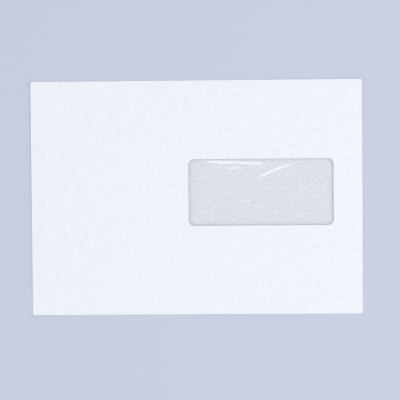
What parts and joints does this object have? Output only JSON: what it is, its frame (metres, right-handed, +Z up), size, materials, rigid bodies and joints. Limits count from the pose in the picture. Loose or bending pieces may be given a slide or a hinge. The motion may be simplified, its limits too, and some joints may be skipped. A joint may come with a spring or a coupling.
{
  "type": "window envelope",
  "caption": "Flat white paper envelope with a glued clear film window on the right of its front, its seal flap folded under and left open.",
  "frame": {"origin": "on the surface that the envelope lies on, under the middle of its outline", "axes": "+X along the long side, towards the window's end; +Y along the short side, towards the edge that the seal flap folds over; +Z up, out of the front face"},
  "size_m": [0.229, 0.162, 0.002],
  "materials": {
    "white_paper": "uncoated wood-free paper, 90 g per square metre",
    "clear_film": "clear polystyrene window film",
    "dry_glue": "dried dispersion glue and remoistening gum"
  },
  "bodies": {
    "root": {"folded_paper": "white_paper", "window_film": "clear_film", "window_glue": "dry_glue", "left_seam_glue": "dry_glue", "right_seam_glue": "dry_glue", "seal_gum": "dry_glue"}
  },
  "joints": []
}
